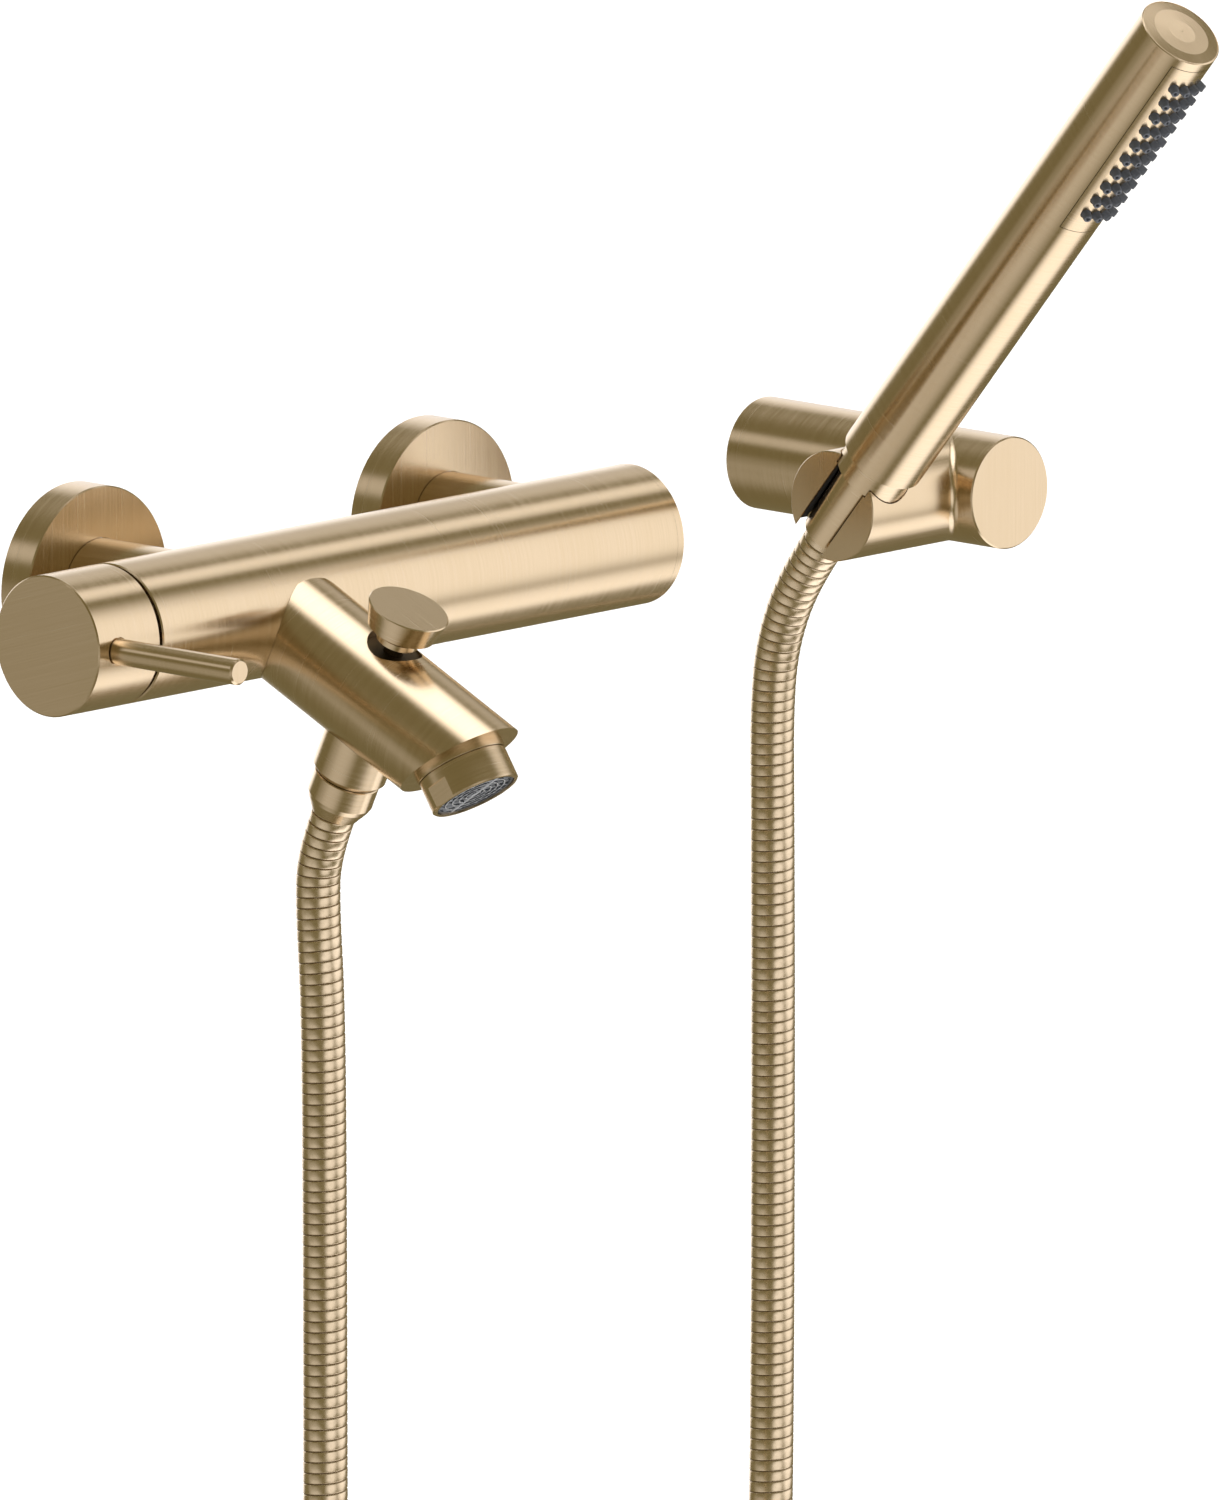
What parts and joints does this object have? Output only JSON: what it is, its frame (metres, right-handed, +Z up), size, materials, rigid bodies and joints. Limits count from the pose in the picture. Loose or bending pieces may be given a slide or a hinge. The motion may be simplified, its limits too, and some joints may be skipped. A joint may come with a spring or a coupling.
{
  "type": "wall mounted bath faucet",
  "caption": "Exposed bar-shaped bath mixer with side lever, angled spout, pull diverter, slim hand shower on a metal hose and a wall holder.",
  "frame": {"origin": "on the wall surface, midway between the hot and cold inlets at their height", "axes": "+X along the wall to the right as seen from the room, +Y into the wall, +Z up"},
  "size_m": [0.3991, 0.2313, 0.7279],
  "materials": {
    "brushed_brass": "brushed champagne brass, clear coated",
    "raw_brass": "machined brass",
    "steel": "stainless steel",
    "ceramic": "polished alumina ceramic",
    "white_plastic": "moulded acetal",
    "grey_plastic": "moulded slate grey plastic",
    "grey_silicone": "matt slate grey silicone",
    "black_rubber": "EPDM rubber",
    "hose_strip": "wound brass strip over a flexible inner tube"
  },
  "bodies": {
    "fixed": {"mixer_body": "brushed_brass", "body_end_plug": "brushed_brass", "rosette_hot": "brushed_brass", "rosette_cold": "brushed_brass", "spout": "brushed_brass", "aerator_ring": "brushed_brass", "hose_outlet": "brushed_brass", "outlet_hose_nut": "brushed_brass", "holder_body": "brushed_brass", "inlet_union_hot": "raw_brass", "inlet_union_cold": "raw_brass", "cartridge_nut": "raw_brass", "diverter_bush": "raw_brass", "outlet_ferrule": "raw_brass", "boss_grub_screws": "steel", "holder_grub_screw": "steel", "ceramic_fixed_disc": "ceramic", "cartridge_base": "white_plastic", "cartridge_housing": "white_plastic", "outlet_check_valve": "white_plastic", "holder_wall_plate": "white_plastic", "aerator_insert": "grey_plastic", "plug_o_ring": "black_rubber", "union_o_rings": "black_rubber", "rosette_gaskets": "black_rubber", "port_seals": "black_rubber", "spout_o_ring": "black_rubber", "aerator_washer": "black_rubber", "stem_o_ring": "black_rubber", "outlet_hose_washer": "black_rubber", "cradle_liner": "black_rubber", "shower_hose": "hose_strip"},
    "turret": {"cartridge_turret": "white_plastic", "stem_pin": "steel"},
    "lever": {"cartridge_stem": "raw_brass", "handle_cap": "brushed_brass", "handle_lever": "brushed_brass", "handle_grub_screw": "steel"},
    "disc": {"ceramic_moving_disc": "ceramic", "disc_carrier": "white_plastic"},
    "diverter": {"diverter_knob": "brushed_brass", "diverter_spindle": "raw_brass", "diverter_valve": "raw_brass", "valve_o_rings": "black_rubber"},
    "hose_end": {"grip_hose_nut": "brushed_brass", "grip_ferrule": "raw_brass", "grip_hose_washer": "black_rubber"},
    "hand_shower": {"shower_neck": "brushed_brass", "neck_o_ring": "black_rubber", "flow_limiter": "white_plastic", "shower_tube": "brushed_brass", "shower_end_cap": "brushed_brass", "spray_plate": "brushed_brass", "spray_nozzles": "grey_silicone", "spray_chamber": "white_plastic", "grip_waterway": "white_plastic"}
  },
  "joints": [
    {"name": "temperature", "type": "hinge", "parent": "fixed", "child": "turret", "pos_m": [-0.117, -0.068, 0], "axis": [1, 0, 0], "range_deg": [-50, 50]},
    {"name": "flow", "type": "hinge", "parent": "turret", "child": "lever", "pos_m": [-0.117, -0.068, 0], "axis": [0, 0, -1], "range_deg": [0, 20]},
    {"name": "disc_slide", "type": "slide", "parent": "turret", "child": "disc", "axis": [0, -1, 0], "range_m": [0, 0.00415]},
    {"name": "diverter_pull", "type": "slide", "parent": "fixed", "child": "diverter", "axis": [0, -0.4226, 0.9063], "range_m": [0, 0.008]},
    {"name": "hand_shower_lift", "type": "slide", "parent": "fixed", "child": "hose_end", "axis": [0, -0.6428, 0.766], "range_m": [0, 0.04], "deforming": ["shower_hose"]},
    {"name": "hand_shower_turn", "type": "hinge", "parent": "hose_end", "child": "hand_shower", "pos_m": [0.1823, -0.0757, -0.0012], "axis": [0, -0.6428, 0.766], "continuous": true}
  ],
  "couplings": [
    {"joint": "disc_slide", "follows": "flow", "m_per_rad": 0.011758}
  ]
}
